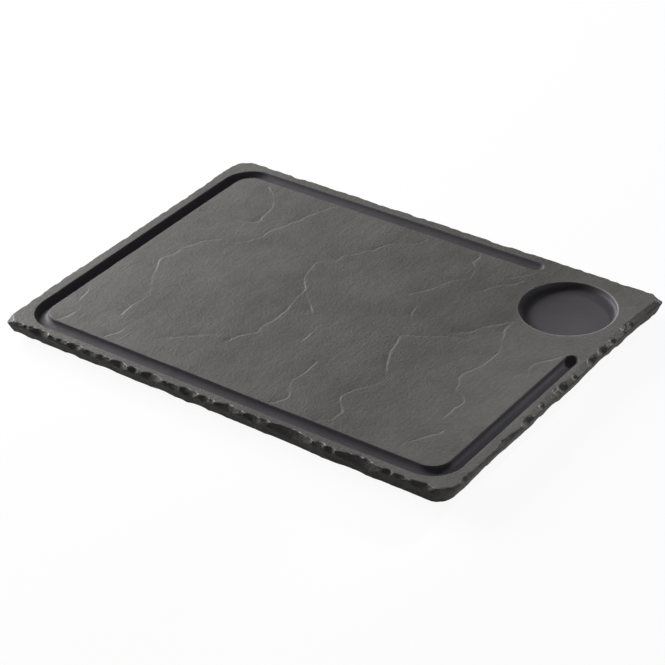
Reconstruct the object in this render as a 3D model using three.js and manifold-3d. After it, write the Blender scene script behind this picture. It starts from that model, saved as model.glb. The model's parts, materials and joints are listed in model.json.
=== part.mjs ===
// A rectangular porcelain serving board with a slate-like chipped edge, a juice groove, a round sauce
// well in one corner and four silicone foot pads. Millimetres, +Z up, +X along the long side.
// The origin is on the table, under the middle of the board.
import * as THREE from 'three';
import { mergeVertices } from 'three/addons/utils/BufferGeometryUtils.js';
import Module from 'manifold-3d';

// Board
const boardLength = 330;
const boardWidth = 240;
const boardThickness = 11;
const cornerRadii = { backRight: 6.5, backLeft: 13, frontLeft: 6.5, frontRight: 14 };
const edgeHeight = 3.2; // upright part of the side, below the carving face
const undercutInset = 5; // how far the underside is set in from the outline

// Juice groove, measured at its centre line
const grooveInset = 11.1;
const grooveWidth = 9.8;
const grooveFloorWidth = 1.8;
const grooveDepth = 3;
const grooveLipRadius = 0.7;
const grooveCornerRadius = 16.7;
const grooveGapAtBack = 5.5; // from the groove's end on the back side to the well
const grooveGapAtRight = 11; // from the groove's end on the right side to the well

// Sauce well
const wellInset = 42.5; // from both edges of its corner to its centre
const wellDiameter = 62.6;
const wellFloorDiameter = 54;
const wellDepth = 3.5;
const wellLipRadius = 1;

// Hollow in the underside, which leaves a standing band and a boss under the well
const hollowInset = 32;
const hollowDepth = 2.5;
const hollowCornerRadius = 20;
const hollowDraft = 2;
const wellBossMargin = 4;

// Foot pads in their sockets
const padInset = 18; // from both edges of a corner to the pad's centre
const padDiameter = 14;
const padStandOff = 2;
const padEdgeRadius = 0.8;
const socketDepth = 1;
const socketClearance = 0.3;
const glueThickness = 0.3;

// Chips: ball-shaped bites, one after another along the upper and lower edges, and a wide one on the
// front left corner. Tilt is a bite's direction above the level, in degrees.
const upperChips = {
  pitch: 8.5,
  radius: 7,
  radiusSpread: 8,
  bite: 0.5,
  biteSpread: 1.3,
  tilt: 50,
  tiltSpread: 28,
};
const lowerChips = {
  pitch: 15,
  radius: 12,
  radiusSpread: 8,
  bite: 0.4,
  biteSpread: 0.8,
  tilt: -40,
  tiltSpread: 20,
};
const cornerChip = { radius: 22, bite: 2, tilt: 50 };
const chipDrift = 0.6; // how far a chip may stray along the edge, in pitches

// Fineness of the round forms
const cornerSteps = 6;
const grooveCornerSteps = 8;
const coveSteps = 3;
const lipSteps = 2;
const roundSegments = 48;
const padSegments = 32;
const chipDetail = 1;
const cutClearance = 1; // how far a cutter stands out of the face that it cuts

const undersideZ = padStandOff;
const topZ = undersideZ + boardThickness;
const wellX = boardLength / 2 - wellInset;
const wellY = boardWidth / 2 - wellInset;
const wellRadius = wellDiameter / 2;
const grooveHalf = grooveWidth / 2;

const wasm = await Module();
wasm.setup();

function toSolid(geometry) {
  const bare = geometry.clone();
  bare.deleteAttribute('normal');
  bare.deleteAttribute('uv');
  const merged = mergeVertices(bare, 1e-4);
  return new wasm.Manifold(new wasm.Mesh({
    numProp: 3,
    vertProperties: new Float32Array(merged.attributes.position.array),
    triVerts: new Uint32Array(merged.index.array),
  }));
}

function toGeometry(solid) {
  const mesh = solid.getMesh();
  const geometry = new THREE.BufferGeometry();
  geometry.setAttribute('position', new THREE.BufferAttribute(mesh.vertProperties, 3));
  geometry.setIndex(new THREE.BufferAttribute(mesh.triVerts, 1));
  geometry.computeVertexNormals();
  return geometry;
}

// A number from 0 to 1 that looks random but is the same on every run.
function scatter(index, salt) {
  const value = Math.sin(index * 12.9898 + salt * 78.233) * 43758.5453;
  return value - Math.floor(value);
}

// Points round a rectangle with arcs at its corners, anticlockwise, each with its outward normal.
function roundedRectangle(halfX, halfY, radiusOf, steps) {
  const points = [];
  const corners = [['backRight', 1, 1], ['backLeft', -1, 1], ['frontLeft', -1, -1], ['frontRight', 1, -1]];
  corners.forEach(([name, signX, signY], corner) => {
    const radius = radiusOf(name);
    for (let step = 0; step <= steps; step += 1) {
      const angle = (corner + step / steps) * Math.PI / 2;
      const normal = new THREE.Vector2(Math.cos(angle), Math.sin(angle));
      const centre = new THREE.Vector2(signX * (halfX - radius), signY * (halfY - radius));
      points.push({ point: centre.addScaledVector(normal, radius), normal });
    }
  });
  return points;
}

// A closed body through rings of equal length, with its two end rings filled in.
function loft(rings, endFaces) {
  const positions = rings.flat().flatMap((vertex) => vertex.toArray());
  const count = rings[0].length;
  const indices = [];
  for (let ring = 0; ring < rings.length - 1; ring += 1) {
    for (let i = 0; i < count; i += 1) {
      const a = ring * count + i;
      const b = ring * count + (i + 1) % count;
      indices.push(a, b, b + count, a, b + count, a + count);
    }
  }
  const last = (rings.length - 1) * count;
  endFaces.forEach(([a, b, c]) => {
    indices.push(a, c, b, last + a, last + b, last + c);
  });
  const geometry = new THREE.BufferGeometry();
  geometry.setAttribute('position', new THREE.Float32BufferAttribute(positions, 3));
  geometry.setIndex(indices);
  return geometry;
}

// A body whose outline follows the board's at each level, given as { inset, z } from the bottom up.
function levelledBody(levels, radiusAt) {
  const rings = levels.map(({ inset, z }) => roundedRectangle(
    boardLength / 2 - inset,
    boardWidth / 2 - inset,
    (corner) => radiusAt(inset, corner),
    cornerSteps,
  ).map(({ point }) => new THREE.Vector3(point.x, point.y, z)));
  const outline = rings[0].map(({ x, y }) => new THREE.Vector2(x, y));
  return toSolid(loft(rings, THREE.ShapeUtils.triangulateShape(outline, [])));
}

// Half of a hollow's section, from its floor's edge up to the carving face: a cove, then a round lip.
function coveProfile(floorHalf, lipHalf, depth, lipRadius) {
  const reach = lipHalf - floorHalf;
  const sweep = Math.min(2 * Math.atan(depth / reach), Math.PI / 2);
  const coveRadius = reach / Math.sin(sweep) - lipRadius;
  const points = [];
  for (let step = 0; step <= coveSteps; step += 1) {
    const angle = sweep * step / coveSteps;
    points.push(new THREE.Vector2(
      floorHalf + coveRadius * Math.sin(angle),
      coveRadius * (1 - Math.cos(angle)) - depth,
    ));
  }
  for (let step = lipSteps; step >= 0; step -= 1) {
    const angle = sweep * step / lipSteps;
    points.push(new THREE.Vector2(
      lipHalf - lipRadius * Math.sin(angle),
      -lipRadius * (1 - Math.cos(angle)),
    ));
  }
  points.push(new THREE.Vector2(lipHalf, cutClearance));
  return points;
}

// A round hollow about a vertical axis, as a body to cut away.
function roundCutter(profile, x, y) {
  const floor = new THREE.Vector2(0, profile[0].y);
  const mouth = new THREE.Vector2(0, cutClearance);
  const lathe = new THREE.LatheGeometry([floor, ...profile, mouth], roundSegments);
  lathe.rotateX(Math.PI / 2);
  lathe.translate(x, y, topZ);
  return toSolid(lathe);
}

function cylinder(radius, bottomZ, height, x, y) {
  const geometry = new THREE.CylinderGeometry(radius, radius, height, roundSegments);
  geometry.rotateX(Math.PI / 2);
  geometry.translate(x, y, bottomZ + height / 2);
  return toSolid(geometry);
}

// The slab: upright sides, then an undercut down to the underside.
function slab() {
  const levels = [
    { inset: undercutInset, z: undersideZ },
    { inset: 0, z: topZ - edgeHeight },
    { inset: 0, z: topZ },
  ];
  return levelledBody(levels, (inset, corner) => cornerRadii[corner] - inset);
}

// The groove runs from the back side round three corners to the right side, with round ends.
function grooveCutter() {
  const half = coveProfile(grooveFloorWidth / 2, grooveHalf, grooveDepth, grooveLipRadius);
  const mirrored = half.map(({ x, y }) => new THREE.Vector2(-x, y)).reverse();
  const section = [...mirrored, ...half];
  const round = roundedRectangle(
    boardLength / 2 - grooveInset,
    boardWidth / 2 - grooveInset,
    () => grooveCornerRadius,
    grooveCornerSteps,
  );
  const startX = wellX - wellRadius - grooveGapAtBack - grooveHalf;
  const endY = wellY - wellRadius - grooveGapAtRight - grooveHalf;
  const start = {
    point: new THREE.Vector2(startX, boardWidth / 2 - grooveInset),
    normal: new THREE.Vector2(0, 1),
  };
  const end = {
    point: new THREE.Vector2(boardLength / 2 - grooveInset, endY),
    normal: new THREE.Vector2(1, 0),
  };
  const pastFirstCorner = grooveCornerSteps + 1;
  const stations = [start, ...round.slice(pastFirstCorner), end].reverse();
  const rings = stations.map(({ point, normal }) => section.map(({ x, y }) => new THREE.Vector3(
    point.x + normal.x * x,
    point.y + normal.y * x,
    topZ + y,
  )));
  const run = toSolid(loft(rings, THREE.ShapeUtils.triangulateShape(section, [])));
  const roundEnds = [start, end].map(({ point }) => roundCutter(half, point.x, point.y));
  return wasm.Manifold.union([run, ...roundEnds]);
}

function wellCutter() {
  const profile = coveProfile(wellFloorDiameter / 2, wellRadius, wellDepth, wellLipRadius);
  return roundCutter(profile, wellX, wellY);
}

// The underside's hollow, which goes round the boss under the well.
function undersideCutter() {
  const ceilingZ = undersideZ + hollowDepth;
  const levels = [
    { inset: hollowInset, z: undersideZ - cutClearance },
    { inset: hollowInset, z: undersideZ },
    { inset: hollowInset + hollowDraft, z: ceilingZ },
  ];
  const hollow = levelledBody(levels, (inset) => hollowCornerRadius + hollowInset - inset);
  const bossBottom = undersideZ - 2 * cutClearance;
  const bossHeight = ceilingZ + cutClearance - bossBottom;
  return hollow.subtract(cylinder(wellRadius + wellBossMargin, bossBottom, bossHeight, wellX, wellY));
}

// Each pad and the signs of X and Y at its corner
const padCorners = {
  foot_pad_front_left: [-1, -1],
  foot_pad_front_right: [1, -1],
  foot_pad_rear_left: [-1, 1],
  foot_pad_rear_right: [1, 1],
};

function padCentre(name) {
  const [signX, signY] = padCorners[name];
  return [signX * (boardLength / 2 - padInset), signY * (boardWidth / 2 - padInset)];
}

function socketCutters() {
  const radius = padDiameter / 2 + socketClearance;
  return Object.keys(padCorners).map((name) => {
    const [x, y] = padCentre(name);
    return cylinder(radius, undersideZ - cutClearance, socketDepth + cutClearance, x, y);
  });
}

const outline = roundedRectangle(boardLength / 2, boardWidth / 2, (corner) => cornerRadii[corner], cornerSteps);
const upperEdge = { inset: 0, z: topZ };
const lowerEdge = { inset: undercutInset, z: undersideZ };

// The point on the outline, and its outward normal, at a distance round it.
function outlineAt(distance) {
  let left = distance;
  for (let i = 0; i < outline.length; i += 1) {
    const here = outline[i];
    const next = outline[(i + 1) % outline.length];
    const length = here.point.distanceTo(next.point);
    if (left <= length) {
      return {
        point: here.point.clone().lerp(next.point, left / length),
        normal: here.normal.clone().lerp(next.normal, left / length).normalize(),
      };
    }
    left -= length;
  }
  return outline[0];
}

// A ball that bites into an edge, set in from a place on the outline. Turn rolls the ball's facets about.
function chipCutter({ radius, bite, tilt }, { point, normal }, edge, turn) {
  const angle = THREE.MathUtils.degToRad(tilt);
  const reach = radius - bite;
  const out = Math.cos(angle) * reach - edge.inset;
  const ball = new THREE.IcosahedronGeometry(radius, chipDetail);
  ball.rotateZ(turn);
  ball.rotateX(2 * turn);
  ball.translate(
    point.x + normal.x * out,
    point.y + normal.y * out,
    edge.z + Math.sin(angle) * reach,
  );
  return toSolid(ball);
}

// Bites all along an edge at the given height and inset.
function chipCutters(chips, edge, salt) {
  const girth = outline.reduce((sum, { point }, i) => (
    sum + point.distanceTo(outline[(i + 1) % outline.length].point)
  ), 0);
  const count = Math.round(girth / chips.pitch);
  return Array.from({ length: count }, (_, i) => {
    const chip = {
      radius: chips.radius + chips.radiusSpread * scatter(i, salt),
      bite: chips.bite + chips.biteSpread * scatter(i, salt + 1),
      tilt: chips.tilt + chips.tiltSpread * (scatter(i, salt + 2) - 0.5),
    };
    const distance = (i + chipDrift * scatter(i, salt + 3)) * girth / count;
    return chipCutter(chip, outlineAt(distance), edge, i);
  });
}

function cornerChipCutter() {
  const middleOfFrontLeft = 2 * (cornerSteps + 1) + Math.round(cornerSteps / 2);
  return chipCutter(cornerChip, outline[middleOfFrontLeft], upperEdge, 0);
}

function boardBody() {
  const cutters = [
    grooveCutter(),
    wellCutter(),
    undersideCutter(),
    ...socketCutters(),
    ...chipCutters(upperChips, upperEdge, 1),
    ...chipCutters(lowerChips, lowerEdge, 11),
    cornerChipCutter(),
  ];
  return toGeometry(slab().subtract(wasm.Manifold.union(cutters)));
}

// A pad is a short round plug with a rounded foot, stuck to the socket's ceiling.
function padGeometry() {
  const radius = padDiameter / 2;
  const height = padStandOff + socketDepth - glueThickness;
  const edge = Array.from({ length: lipSteps + 1 }, (_, step) => {
    const angle = step / lipSteps * Math.PI / 2;
    return new THREE.Vector2(
      radius - padEdgeRadius * (1 - Math.sin(angle)),
      padEdgeRadius * (1 - Math.cos(angle)),
    );
  });
  const foot = new THREE.Vector2(0, 0);
  const rim = new THREE.Vector2(radius, height);
  const top = new THREE.Vector2(0, height);
  const geometry = new THREE.LatheGeometry([foot, ...edge, rim, top], padSegments);
  geometry.rotateX(Math.PI / 2);
  return toGeometry(toSolid(geometry));
}

const porcelain = new THREE.MeshStandardMaterial({ color: 0x5f5e5c, roughness: 0.6, metalness: 0 });
const silicone = new THREE.MeshStandardMaterial({ color: 0x202022, roughness: 0.75, metalness: 0 });

const board = new THREE.Group();
const body = new THREE.Mesh(boardBody(), porcelain);
body.name = 'board_body';
board.add(body);

Object.keys(padCorners).forEach((name) => {
  const pad = new THREE.Mesh(padGeometry(), silicone);
  pad.name = name;
  pad.position.set(...padCentre(name), 0);
  board.add(pad);
});

export default board;
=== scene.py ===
# A porcelain serving board with a face cleft like slate, a knapped edge, a juice groove, a round sauce
# well and four silicone foot pads. Shapes are worked out in millimetres and stored in metres.
import json
import math

import bpy
import numpy as np
from mathutils import Matrix, Vector, noise
from mathutils.geometry import delaunay_2d_cdt


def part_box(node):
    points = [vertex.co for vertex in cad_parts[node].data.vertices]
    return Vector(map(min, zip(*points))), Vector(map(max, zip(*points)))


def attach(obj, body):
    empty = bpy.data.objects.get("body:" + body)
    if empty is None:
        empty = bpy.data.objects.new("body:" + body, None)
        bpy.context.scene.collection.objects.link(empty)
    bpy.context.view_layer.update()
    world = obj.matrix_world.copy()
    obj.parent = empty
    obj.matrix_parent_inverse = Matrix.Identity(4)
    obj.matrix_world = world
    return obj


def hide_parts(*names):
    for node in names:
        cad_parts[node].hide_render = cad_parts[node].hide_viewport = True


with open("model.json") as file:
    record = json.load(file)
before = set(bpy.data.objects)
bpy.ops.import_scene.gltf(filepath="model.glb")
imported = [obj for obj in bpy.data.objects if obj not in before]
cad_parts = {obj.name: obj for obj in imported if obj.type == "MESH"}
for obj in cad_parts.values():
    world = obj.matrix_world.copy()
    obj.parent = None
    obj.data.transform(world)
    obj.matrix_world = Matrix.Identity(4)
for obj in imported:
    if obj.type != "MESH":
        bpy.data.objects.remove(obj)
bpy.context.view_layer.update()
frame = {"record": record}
mm = 0.001

# the board's box and the well's place come from the frame
boardLow, boardHigh = (np.array(corner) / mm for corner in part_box("board_body"))
mounts = {mount["name"]: np.array(mount["pos_m"]) / mm for mount in frame["record"]["mounts"]}
halfLength, halfWidth, topZ = boardHigh
undersideZ = boardLow[2]
wellCentre = mounts["well_floor"][:2]
print("frame loaded: board", 2 * halfLength, "x", 2 * halfWidth, "mm, top at", topZ)

# Camera
camera = {
    "azimuth": 37.67,
    "elevation": 33.26,
    "roll": -2.77,
    "distance": 1386,
    "aim": (16.9, -23.1, topZ),
    "focalPixels": 2273,
    "pictureSide": 665,
    "sensor": 36,
    "shiftPixels": (-0.5, 0.5),
    "clipEnd": 20000,
}


def cameraAxes():
    turn, lift, roll = (math.radians(camera[key]) for key in ("azimuth", "elevation", "roll"))
    back = np.array([math.sin(turn) * math.cos(lift), -math.cos(turn) * math.cos(lift), math.sin(lift)])
    level = np.array([math.cos(turn), math.sin(turn), 0.0])
    up = np.cross(back, level)
    right = level * math.cos(roll) + up * math.sin(roll)
    return right, up * math.cos(roll) - level * math.sin(roll), back


def onCarvingFace(pixels):
    # where pixels of the photograph fall on the carving face, in mm
    right, up, back = cameraAxes()
    middle = camera["pictureSide"] / 2
    spread = (np.array(pixels, float) - middle) / camera["focalPixels"]
    rays = spread[:, :1] * right - spread[:, 1:] * up - back
    eye = np.array(camera["aim"]) + back * camera["distance"]
    return (eye + rays * ((topZ - eye[2]) / rays[:, 2])[:, None])[:, :2]


def addCamera():
    data = bpy.data.cameras.new("camera")
    data.sensor_width = camera["sensor"]
    data.lens = camera["focalPixels"] / camera["pictureSide"] * camera["sensor"]
    data.shift_x, data.shift_y = (shift / camera["pictureSide"] for shift in camera["shiftPixels"])
    data.clip_end = camera["clipEnd"] * mm
    holder = bpy.data.objects.new("camera", data)
    right, up, back = cameraAxes()
    eye = np.array(camera["aim"]) + back * camera["distance"]
    turned = Matrix((right, up, back)).transposed().to_4x4()
    holder.matrix_world = Matrix.Translation(Vector(eye * mm)) @ turned
    bpy.context.scene.collection.objects.link(holder)
    bpy.context.scene.camera = holder


addCamera()
print("camera set")

# Board: outline, side and the hollows in its two faces
board = {
    # anticlockwise from the back right corner
    "cornerRadii": (5.5, 12, 2.2, 14),
    "edgeHeight": 3.2,
    # how far the side leans in below its edge: at the front's two ends, on the right, at the right's back
    # end and on the far sides
    "undercut": {"frontLeft": 3.6, "frontRight": 2.2, "right": 3.8, "rightBack": 3.2, "far": 3.6},
    # where the right side's undercut starts to change towards the back, and over what length
    "rightBackStart": 30,
    "rightBackRun": 80,
    # swing of the outline and the length of one swing, coarse and fine
    "waver": (0.7, 30),
    "fineWaver": (0.5, 11),
    "leftOut": 0.4,
    "rightOut": 1.7,
    "rightOutReach": 9,
    "columnPitch": 0.9,
    "stripInset": 5.2,
    "fillPitch": 2.2,
    "fillClearance": 1.1,
    "fillJitter": 0.25,
    "fillMargin": 0.9,
    "sharpAngle": 32,
    # strengths of the highlights painted along the fresh edges of the scars and along the well's lip
    "edgeHighlight": 5,
    "wellLipHighlight": 14,
}
groove = {
    "inset": 11.1,
    "width": 9.8,
    "floorWidth": 1.8,
    "depth": 3.0,
    "lipRadius": 0.7,
    "cornerRadius": 16.7,
    "gapAtBack": 5.5,
    "gapAtRight": 11,
    "stationPitch": 1.6,
    # rows of points on both sides of the centre line, closest where the profile bends
    "rows": (0.9, 1.7, 2.4, 3.0, 3.5, 3.9, 4.25, 4.5, 4.7, 4.9, 5.3),
    "endSegments": 36,
    "endOverlap": 0.2,
    "stationGap": 0.8,
    "sandedMargin": 0.15,
    "clearance": 0.7,
}
well = {
    "diameter": 62.6,
    "floorDiameter": 55.5,
    "lipRadius": 1.2,
    "depth": topZ - mounts["well_floor"][2],
    # rings of points, closest where the profile bends
    "rings": (
        23, 26, 27.7, 28.4, 29, 29.4, 29.7, 29.95, 30.15, 30.3, 30.45, 30.6, 30.8, 31.05, 31.3, 31.8,
    ),
    "segments": 150,
    "sandedMargin": 0.8,
    "clearance": 0.9,
}
wellRadius = well["diameter"] / 2
grooveHalf = groove["width"] / 2
startX = wellCentre[0] - wellRadius - groove["gapAtBack"] - grooveHalf
endY = wellCentre[1] - wellRadius - groove["gapAtRight"] - grooveHalf
grooveStart = np.array([startX, halfWidth - groove["inset"]])
grooveEnd = np.array([halfLength - groove["inset"], endY])
# the corners in the order of their radii
backRight, backLeft, frontLeft, frontRight = range(4)
cornerSigns = np.array([(1, 1), (-1, 1), (-1, -1), (1, -1)])
fineShare = 0.6  # of finer noise laid over coarser noise
rng = np.random.default_rng(7)


def smoothStep(value):
    share = np.clip(value, 0, 1)
    return share * share * (3 - 2 * share)


def wander(points, size, patch=0):
    # smooth noise from -1 to 1 with bumps of the given size in mm, and another course on another patch
    return np.array([noise.noise(Vector(point) / size) for point in points + patch])


def flatPoints(points):
    return np.column_stack([points, np.zeros(len(points))])


def insetFrom(points, inset, radii):
    # how far points lie inside a rounded rectangle that is set in from the outline
    right, back = points[:, 0] > 0, points[:, 1] > 0
    corner = np.where(back, np.where(right, backRight, backLeft), np.where(right, frontRight, frontLeft))
    radius = np.array(radii, float)[corner]
    half = np.array([halfLength - inset, halfWidth - inset])
    past = np.abs(points) - half + radius[:, None]
    outside = np.hypot(*np.maximum(past, 0).T)
    return radius - outside - np.minimum(past.max(axis=1), 0)


def roundedOutline(inset, radii, pitch):
    # points and outward normals round the board, anticlockwise from the right side's back end
    points, normals = [], []
    half = np.array([halfLength - inset, halfWidth - inset])
    for corner, radius in enumerate(radii):
        centre = (half - radius) * cornerSigns[corner]
        steps = math.ceil(radius * math.pi / 2 / pitch)
        for angle in (corner + np.arange(steps) / steps) * math.pi / 2:
            normals.append((math.cos(angle), math.sin(angle)))
            points.append(centre + radius * np.array(normals[-1]))
        angle = (corner + 1) * math.pi / 2
        normal = np.array([math.cos(angle), math.sin(angle)])
        following = (corner + 1) % len(radii)
        start = centre + radius * normal
        stop = (half - radii[following]) * cornerSigns[following] + radii[following] * normal
        steps = math.ceil(np.hypot(*(stop - start)) / pitch)
        for share in np.arange(steps) / steps:
            normals.append(tuple(normal))
            points.append(start + (stop - start) * share)
    return np.array(points), np.array(normals)


def undercutAt(points, normals):
    # the undercut goes smoothly from side to side
    lean = board["undercut"]
    share = smoothStep((points[:, 0] + halfLength) / (2 * halfLength))
    front = lean["frontLeft"] + (lean["frontRight"] - lean["frontLeft"]) * share
    share = smoothStep((points[:, 1] - board["rightBackStart"]) / board["rightBackRun"])
    right = lean["right"] + (lean["rightBack"] - lean["right"]) * share
    towardsFront = np.clip(-normals[:, 1], 0, 1) ** 2
    towardsRight = np.clip(normals[:, 0], 0, 1) ** 2
    return lean["far"] + (front - lean["far"]) * towardsFront + (right - lean["far"]) * towardsRight


def outlineDrift(points, normals):
    # the outline wavers, and lies a little further out on the left and at the back end of the right
    flat = flatPoints(points)
    swing, length = board["waver"]
    fineSwing, fineLength = board["fineWaver"]
    waver = swing * wander(flat, length) + fineSwing * wander(flat, fineLength, patch=70)
    fromCorner = np.hypot(*(points - (halfLength, halfWidth)).T) / board["rightOutReach"]
    left, right = np.clip(-normals[:, 0], 0, 1), np.clip(normals[:, 0], 0, 1)
    return waver + board["leftOut"] * left + board["rightOut"] * right * np.exp(-fromCorner**2)


def coveDepth(offset, floorHalf, lipHalf, depth, lipRadius):
    # depth of a hollow with a flat floor, coved sides and round lips, at an offset from its middle
    reach = lipHalf - floorHalf
    sweep = min(2 * math.atan(depth / reach), math.pi / 2)
    coveRadius = reach / math.sin(sweep) - lipRadius
    onCove = np.clip((offset - floorHalf) / coveRadius, 0, math.sin(sweep))
    onLip = np.clip((lipHalf - offset) / lipRadius, 0, 1)
    cove = depth - coveRadius * (1 - np.sqrt(1 - onCove**2))
    lip = lipRadius * (1 - np.sqrt(1 - onLip**2))
    return np.where(offset < floorHalf + coveRadius * math.sin(sweep), cove, lip)


def grooveOffset(points):
    # distance from the groove's centre line, which is open at the well's corner
    ring = np.abs(insetFrom(points, groove["inset"], [groove["cornerRadius"]] * 4))
    ends = np.minimum(*(np.hypot(*(points - end).T) for end in (grooveStart, grooveEnd)))
    inGap = (points[:, 0] > grooveStart[0]) & (points[:, 1] > grooveEnd[1])
    return np.where(inGap, ends, ring)


def wellOffset(points):
    return np.hypot(*(points - wellCentre).T)


def hollowDepth(points):
    cut = coveDepth(
        grooveOffset(points), groove["floorWidth"] / 2, grooveHalf, groove["depth"], groove["lipRadius"]
    )
    return cut + coveDepth(
        wellOffset(points), well["floorDiameter"] / 2, wellRadius, well["depth"], well["lipRadius"]
    )


# Cleft lines on the carving face, as pixels of the photograph. The face steps up on the right of each line.
cleft = {
    "lift": 0.03,
    "dip": 0.34,
    "width": 1.0,
    "highReach": 26,
    "lowReach": 5,
    # past this distance a line no longer shapes the face
    "reach": 45,
    # the strength comes and goes along a line, over this length
    "strength": (0.25, 1.0),
    "strengthSize": 17,
    "strengthSwing": 0.9,
    # shorter lines than this are fainter, down to the least strength
    "fullLength": 50,
    "leastStrength": 0.4,
    "taper": 5,
    "taperShare": 0.4,
    "ragged": 0.25,
    "raggedSize": 4.3,
    "fineRaggedSize": 1.9,
    "pitch": 1.1,
    "stepsPerPoint": 12,
    # rows of points beside a line, and the least gap between two points
    "rows": (-6, -3.6, -2, -1.1, -0.5, 0, 0.5, 1.1),
    "leastGap": 0.33,
    "margin": 0.7,
    "swell": 0.2,
    "swellSize": 55,
    "fineSwell": 0.7,
    "ripple": 0.06,
    "rippleSize": (5, 17),
    "fineRipple": 2.1,
    "limits": (-0.7, 0.4),
    "edgeFade": 9,
}
cleftPixels = {
    "backLeftCorner": [
        (197, 211), (204, 211), (220, 215), (236, 219), (251, 222), (260, 220), (262, 216), (266, 213),
        (271, 208), (273, 203), (273, 195), (269, 188), (270, 185),
    ],
    "longUpper": [
        (120, 316), (124, 311), (130, 306), (137, 302), (143, 298), (149, 292), (151, 287), (151, 281),
        (153, 275), (158, 263), (160, 258), (169, 255), (176, 252), (181, 248), (187, 246), (196, 243),
        (202, 241), (220, 239), (226, 242), (240, 242), (249, 240), (261, 237), (266, 233), (271, 230),
        (280, 227), (286, 225), (292, 222), (300, 220), (304, 217), (320, 211), (329, 208), (337, 206),
    ],
    "leftFront": [(102, 338), (106, 335), (114, 333), (121, 330), (126, 326), (129, 323)],
    "leftEdgeFront": [(53, 320), (63, 317), (70, 314), (76, 310), (82, 305)],
    "leftEdgeBack": [(78, 301), (82, 296), (87, 291), (89, 286), (88, 283)],
    "middleLeft": [(155, 339), (161, 338), (186, 336), (210, 334), (214, 335), (217, 338)],
    "longMiddle": [
        (219, 341), (229, 340), (232, 338), (240, 335), (249, 333), (256, 332), (259, 330), (262, 326),
        (273, 320), (279, 315), (286, 310), (289, 306), (297, 296), (302, 292), (305, 288), (304, 280),
        (306, 274), (310, 269), (314, 264), (320, 261), (328, 260), (335, 261), (340, 258), (345, 255),
        (360, 253), (366, 250), (373, 250), (380, 247), (394, 243), (400, 245), (410, 244), (418, 243),
        (424, 241), (428, 237),
    ],
    "middleBranch": [(313, 313), (311, 307), (308, 299), (306, 290)],
    "frontLeft": [
        (264, 401), (273, 402), (283, 399), (288, 397), (290, 391), (290, 385), (292, 380), (299, 376),
        (306, 371), (312, 366), (319, 359),
    ],
    "frontMiddle": [(299, 342), (306, 337), (312, 332), (316, 328), (322, 322)],
    "backMiddle": [
        (408, 297), (412, 293), (422, 291), (433, 288), (443, 284), (455, 280), (467, 279), (471, 276),
        (475, 268), (473, 262), (478, 258), (481, 253),
    ],
    "middleSpot": [(411, 318), (412, 312), (417, 305)],
    "besideWell": [(481, 292), (488, 288), (499, 285), (511, 284), (519, 282), (527, 279)],
    "behindWell": [(506, 279), (514, 277), (526, 275), (538, 272)],
    "underWell": [
        (449, 333), (460, 332), (471, 331), (482, 327), (492, 325), (503, 323), (521, 320),
    ],
    "longFront": [
        (311, 421), (324, 420), (333, 419), (337, 415), (342, 411), (340, 402), (341, 396), (347, 393),
        (356, 389), (369, 386), (377, 383), (384, 379), (386, 374), (386, 367), (388, 359), (391, 350),
        (396, 343), (399, 337), (402, 335), (428, 336), (443, 336), (453, 337), (463, 338), (472, 342),
    ],
    "frontRight": [(398, 448), (406, 442), (417, 439), (429, 435), (439, 433), (447, 427)],
    "longRight": [
        (441, 419), (449, 413), (454, 408), (461, 404), (464, 400), (461, 394), (456, 388), (459, 383),
        (459, 377), (464, 373), (471, 370), (480, 366), (486, 362), (492, 357), (499, 351), (503, 337),
        (505, 329), (511, 324), (519, 321),
    ],
    "rightEdge": [(529, 378), (529, 369), (534, 364), (543, 361), (553, 359), (565, 355)],
    "rightCorner": [(620, 307), (637, 307), (640, 305)],
}


def rightOf(line):
    # unit vectors to the right of a line
    run = np.gradient(line, axis=0)
    return np.stack([run[:, 1], -run[:, 0]], axis=1) / np.hypot(*run.T)[:, None]


def smoothLine(points, pitch):
    # a curve through the points, with a point every pitch and a ragged course
    ends = np.vstack([2 * points[0] - points[1], points, 2 * points[-1] - points[-2]])
    share = np.linspace(0, 1, cleft["stepsPerPoint"], endpoint=False)[:, None]
    curve = []
    for before, here, there, after in zip(ends, ends[1:], ends[2:], ends[3:]):
        curve.append(here + share / 2 * (
            there - before + share * (2 * before - 5 * here + 4 * there - after)
            + share**2 * (3 * (here - there) + after - before)
        ))
    curve = np.vstack(curve + [points[-1:]])
    run = np.concatenate([[0], np.cumsum(np.hypot(*np.diff(curve, axis=0).T))])
    stops = np.linspace(0, run[-1], max(3, round(run[-1] / pitch)))
    line = np.stack([np.interp(stops, run, curve[:, axis]) for axis in (0, 1)], axis=1)
    flat = flatPoints(line)
    course = wander(flat, cleft["raggedSize"]) + fineShare * wander(flat, cleft["fineRaggedSize"])
    return line + rightOf(line) * (cleft["ragged"] * course)[:, None], stops


cleftLines = [smoothLine(onCarvingFace(pixels), cleft["pitch"]) for pixels in cleftPixels.values()]


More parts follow.
